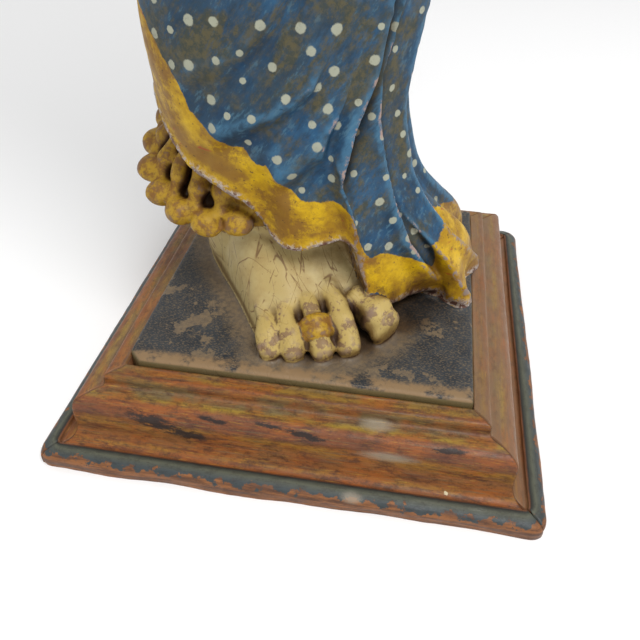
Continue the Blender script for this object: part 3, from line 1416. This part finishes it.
def block_paint(shader):
    """Dark blue-grey, worn to tan wood near the foot, in patches and along the front edge."""
    mix, fade, both = shader.mix, shader.fade, shader.both
    slab = mix(fade(shader.blotch, 0.35, 0.65), srgb(46, 50, 55), srgb(62, 66, 70))
    salt = fade(shader.noise(750, 3, 0.6, shader.moved(scale=(1, 2.2, 1))), 0.5, 0.62, 0.0, 0.6)
    slab = mix(salt, slab, srgb(132, 114, 88))
    near_foot = fade(shader.frayed(shader.attribute("from_foot"), 6.0), 16.0, 4.0, 0.0, 0.9)
    lost = shader.most(near_foot, shader.spots(42, 6, 0.7, (2, 6, 3), 0.55, 0.58, 0.0, 0.9))
    tan = mix(fade(shader.fine, 0.3, 0.7), srgb(140, 120, 92), srgb(112, 98, 82))
    slab = mix(lost, slab, tan)
    parted = shader.add("ShaderNodeSeparateXYZ", {0: shader.place})
    front = fade(shader.frayed(parted.outputs["Y"], 4 * MM), -STRIP_FROM, -STRIP_FULL)
    strip = both(front, fade(shader.blotch, 0.35, 0.5))
    slab = mix(strip, slab, srgb(150, 122, 88))
    side = fade(parted.outputs["Z"], BLOCK_HEIGHT - 1 * MM, BLOCK_HEIGHT - 2 * MM)
    return mix(side, slab, mix(shader.blotch, srgb(118, 104, 62), srgb(92, 76, 52)))


def rubbed_paint(shader, tones, spread, rubbed_from, bare):
    """Two tones of a paint, with the bare wood's colour where its edges are rubbed."""
    mix, fade, both = shader.mix, shader.fade, shader.both
    colour = mix(fade(shader.blotch, *spread), *tones)
    rubbed = both(fade(shader.edge_near, rubbed_from, 0.3), fade(shader.fine, 0.4, 0.6))
    return mix(rubbed, colour, bare)


def figure_material():
    shader = Shader("painted_wood")
    mix, fade, both = shader.mix, shader.fade, shader.both
    shader.patch = shader.noise(26, 3)
    shader.blotch = shader.noise(70, 5, 0.65, shader.moved((3, 1, 2)))
    shader.mottle = shader.noise(150, 4, 0.7, shader.moved((2, 8, 6)))
    shader.fine = shader.noise(320, 4, 0.7)
    shader.edge_near = shader.attribute("edge_near")
    shader.edge_far = shader.attribute("edge_far")
    shader.free = shader.attribute("openness")
    line = cracks(shader, 120, FOOT_TURN, (0, 0, 0))
    line = shader.most(line, cracks(shader, 150, FOOT_TURN + 0.4, (0.3, 0.1, 0.2)))
    line = shader.most(line, cracks(shader, 90, FOOT_TURN - 0.8, (0.5, 0.7, 0.1)))
    line = both(line, 0.8)
    yellow, trim = border_paints(shader)
    over_border = shader.frayed(shader.attribute("over_border"), 1.6)
    colour = mix(fade(over_border, -0.5, 0.5), yellow, robe_paint(shader))
    red = (srgb(140, 58, 42), srgb(104, 44, 36))
    black = (srgb(46, 40, 38), srgb(70, 60, 54))
    layers = {
        "skin": skin_paint(shader, line),
        "gold": gold_paint(shader),
        "block": block_paint(shader),
        "sash": rubbed_paint(shader, red, (0.3, 0.7), 0.08, srgb(158, 130, 108)),
        "hair": rubbed_paint(shader, black, (0.35, 0.65), 0.1, srgb(128, 112, 98)),
        "lip": mix(shader.fine, srgb(168, 116, 88), srgb(148, 98, 74)),
        "trim": trim,
    }
    for name, own in layers.items():
        mask = shader.frayed(shader.attribute("paint_" + name), 0.1)
        colour = mix(fade(mask, 0.42, 0.58), colour, own)
    lid = fade(shader.attribute("from_lid"), 0.9, 0.3)
    colour = mix(lid, colour, srgb(66, 46, 36))
    shade = shader.math("ADD", shader.free, both(shader.fine, 0.25))
    shade = fade(shade, 0.95, 0.45, 0.0, 0.8)
    colour = mix(shade, colour, srgb(150, 118, 84), "MULTIPLY")
    colour = mix(fade(shader.free, 0.3, 0.05, 0.0, 0.5), colour, srgb(38, 28, 20))
    grit = both(shader.noise(1300, 3, 0.7), 0.3)
    height = shader.math("ADD", both(shader.fine, 0.6), grit)
    height = shader.math("SUBTRACT", height, both(line, shader.attribute("paint_skin")))
    roughness = fade(shader.blotch, 0.3, 0.7, 0.42, 0.62)
    return shader.finish(colour, roughness, 0.3, height, 0.35, 0.6 * MM)


# Colours down the moulding's section, in mm along it from its inner top edge
PROFILE_LENGTH = 79.0
BANDS = (
    (0.0, srgb(128, 102, 58)),
    (4.5, srgb(158, 120, 48)),
    (7.0, srgb(112, 64, 38)),
    (9.5, srgb(148, 108, 44)),
    (12.0, srgb(120, 98, 62)),
    (18.0, srgb(132, 112, 78)),
    (21.5, srgb(170, 138, 52)),
    (24.5, srgb(142, 84, 48)),
    (30.0, srgb(128, 74, 44)),
    (34.0, srgb(112, 66, 42)),
    (38.0, srgb(166, 116, 40)),
    (45.0, srgb(146, 96, 52)),
    (51.0, srgb(152, 96, 48)),
    (53.0, srgb(172, 120, 42)),
    (55.0, srgb(150, 90, 44)),
    (60.5, srgb(136, 80, 44)),
    (62.0, srgb(34, 36, 32)),
    (64.5, srgb(96, 98, 82)),
    (68.0, srgb(66, 74, 76)),
    (79.0, srgb(52, 58, 60)),
)


def moulding_material():
    shader = Shader("moulding_wood")
    mix, fade, both = shader.mix, shader.fade, shader.both
    down = shader.attribute("down")
    spread = shader.add("ShaderNodeCombineXYZ", {"X": shader.attribute("along"), "Y": down}).outputs[0]
    shader.fine = shader.noise(0.9, 4, 0.7, spread)

    def drawn(scale, detail, rough, offset=(0, 0, 0), stretch=1):
        return shader.noise(scale, detail, rough, shader.moved(offset, (stretch, 1, 1), spread))

    streak = drawn(0.3, 5, 0.65, stretch=0.12)
    long_streak = drawn(0.9, 4, 0.6, (9, 3, 1), 0.05)
    blotch = drawn(0.16, 5, 0.65, (5, 8, 1))
    upper = fade(down, 61.0, 60.0)

    # Bands of colour down the section, wavy above the foot and crisp on it
    warped = shader.wander(down, blotch, 5.0)
    warped = mix(fade(down, 58.0, 60.5), warped, shader.wander(down, blotch, 0.8))
    share = shader.math("DIVIDE", warped, PROFILE_LENGTH)
    colour = shader.ramp(share, [(at / PROFILE_LENGTH, own) for at, own in BANDS])
    streaks = (
        (drawn(0.06, 4, 0.6, stretch=0.6), 0.42, 0.6, 0.75, srgb(164, 92, 36)),
        (streak, 0.49, 0.66, 0.7, srgb(100, 58, 42)),
        (long_streak, 0.52, 0.7, 0.55, srgb(120, 104, 74)),
        (drawn(0.22, 6, 0.75, (2, 6, 3), 0.5), 0.5, 0.66, 0.7, srgb(84, 54, 38)),
        (drawn(1.6, 3, 0.6, (1, 4, 7), 0.06), 0.6, 0.68, 0.6, srgb(190, 146, 56)),
    )
    for pattern, start, end, most, own in streaks:
        colour = mix(both(fade(pattern, start, end, 0.0, most), upper), colour, own)
    seam = fade(shader.attribute("from_mitre"), 3.0, 0.5, 0.0, 0.6)
    colour = mix(both(seam, fade(shader.fine, 0.3, 0.6)), colour, srgb(58, 42, 32))

    # The worn lower edge of the foot, and bare patches in its grey paint
    bare = fade(shader.frayed(shader.wander(down, blotch, 26.0), 1.5), 69.0, 70.2)
    bare = both(bare, fade(down, 62.5, 64.0))
    orange_wood = mix(fade(streak, 0.4, 0.62), srgb(156, 100, 56), srgb(104, 68, 46))
    colour = mix(bare, colour, orange_wood)
    black = both(fade(long_streak, 0.6, 0.7, 0.0, 0.8), fade(down, 69.0, 73.0))
    colour = mix(black, colour, srgb(48, 42, 38))

    # Smudges, pale patches and the cream dot of the front, and the paler other sides
    broken = fade(drawn(0.35, 6, 0.75, (8, 1, 5), 0.4), 0.36, 0.56, -0.5, 0.1)
    smudge = shader.math("ADD", shader.frayed(shader.attribute("smudge"), 0.3), broken)
    colour = mix(fade(smudge, -0.1, 0.5, 0.0, 0.95), colour, srgb(40, 32, 30))
    pale = fade(shader.frayed(shader.attribute("pale_patch"), 0.3), 0.1, 0.8, 0.0, 0.65)
    colour = mix(pale, colour, srgb(172, 160, 140))
    faded = both(shader.attribute("paleness"), fade(streak, 0.3, 0.6, 0.5, 0.95))
    colour = mix(both(faded, upper), colour, srgb(144, 112, 84))
    spot = shader.frayed(shader.attribute("from_spot"), 0.2)
    spot = fade(spot, CREAM_SPOT_RADIUS + SPOT_BLUR, CREAM_SPOT_RADIUS - SPOT_BLUR)
    colour = mix(spot, colour, srgb(230, 216, 176))
    height = shader.math("ADD", shader.fine, both(long_streak, 0.8))
    return shader.finish(colour, fade(blotch, 0.3, 0.7, 0.38, 0.58), 0.35, height, 0.3, 0.5 * MM)


figure = carved_figure()
figure.data.materials.append(figure_material())
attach(figure, "root")
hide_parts("carved_figure")

moulding_wood = moulding_material()
for quarter_turns, side_name in enumerate(("front", "right", "back", "left")):
    length = moulding(side_name, quarter_turns)
    length.data.materials.append(moulding_wood)
    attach(length, "root")
    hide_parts(f"plinth_moulding_{side_name}")


def look_along(yaw, pitch, roll):
    """The camera's turn: yaw from the front, pitch down and roll."""
    forward = Vector((math.sin(yaw) * math.cos(pitch), math.cos(yaw) * math.cos(pitch), -math.sin(pitch)))
    level_right = Vector((math.cos(yaw), -math.sin(yaw), 0))
    level_up = level_right.cross(forward)
    right = math.cos(roll) * level_right + math.sin(roll) * level_up
    up = -math.sin(roll) * level_right + math.cos(roll) * level_up
    return Matrix((right, up, -forward)).transposed().to_4x4()


camera_data = bpy.data.cameras.new("camera")
camera_data.sensor_width = SENSOR
camera_data.lens = FOCAL_PIXELS / FRAME_PIXELS * SENSOR
camera = bpy.data.objects.new("camera", camera_data)
bpy.context.scene.collection.objects.link(camera)
camera.matrix_world = Matrix.Translation(CAMERA_AT) @ look_along(CAMERA_YAW, CAMERA_PITCH, CAMERA_ROLL)
bpy.context.scene.camera = camera

floor = new_object("floor", [(-3, -3, 0), (3, -3, 0), (3, 3, 0), (-3, 3, 0)], [(0, 1, 2, 3)])
floor_paint = Shader("floor")
floor_paint.surface.inputs["Base Color"].default_value = (0.94, 0.94, 0.94, 1)
floor_paint.surface.inputs["Roughness"].default_value = 0.9
floor.data.materials.append(floor_paint.material)


def soft_light(name, at, towards, energy, size):
    light = bpy.data.objects.new(name, bpy.data.lights.new(name, "AREA"))
    light.data.energy = energy
    light.data.size = size
    facing = (Vector(at) - Vector(towards)).to_track_quat("Z", "Y")
    light.matrix_world = Matrix.Translation(at) @ facing.to_matrix().to_4x4()
    bpy.context.scene.collection.objects.link(light)


soft_light("key", (0.6, -0.7, 1.7), (0, 0, 0.1), 24, 0.8)
world = bpy.data.worlds.new("world")
world.use_nodes = True
world.node_tree.nodes["Background"].inputs["Color"].default_value = (1, 1, 1, 1)
world.node_tree.nodes["Background"].inputs["Strength"].default_value = 0.7
bpy.context.scene.world = world
bpy.context.scene.view_settings.view_transform = "Standard"
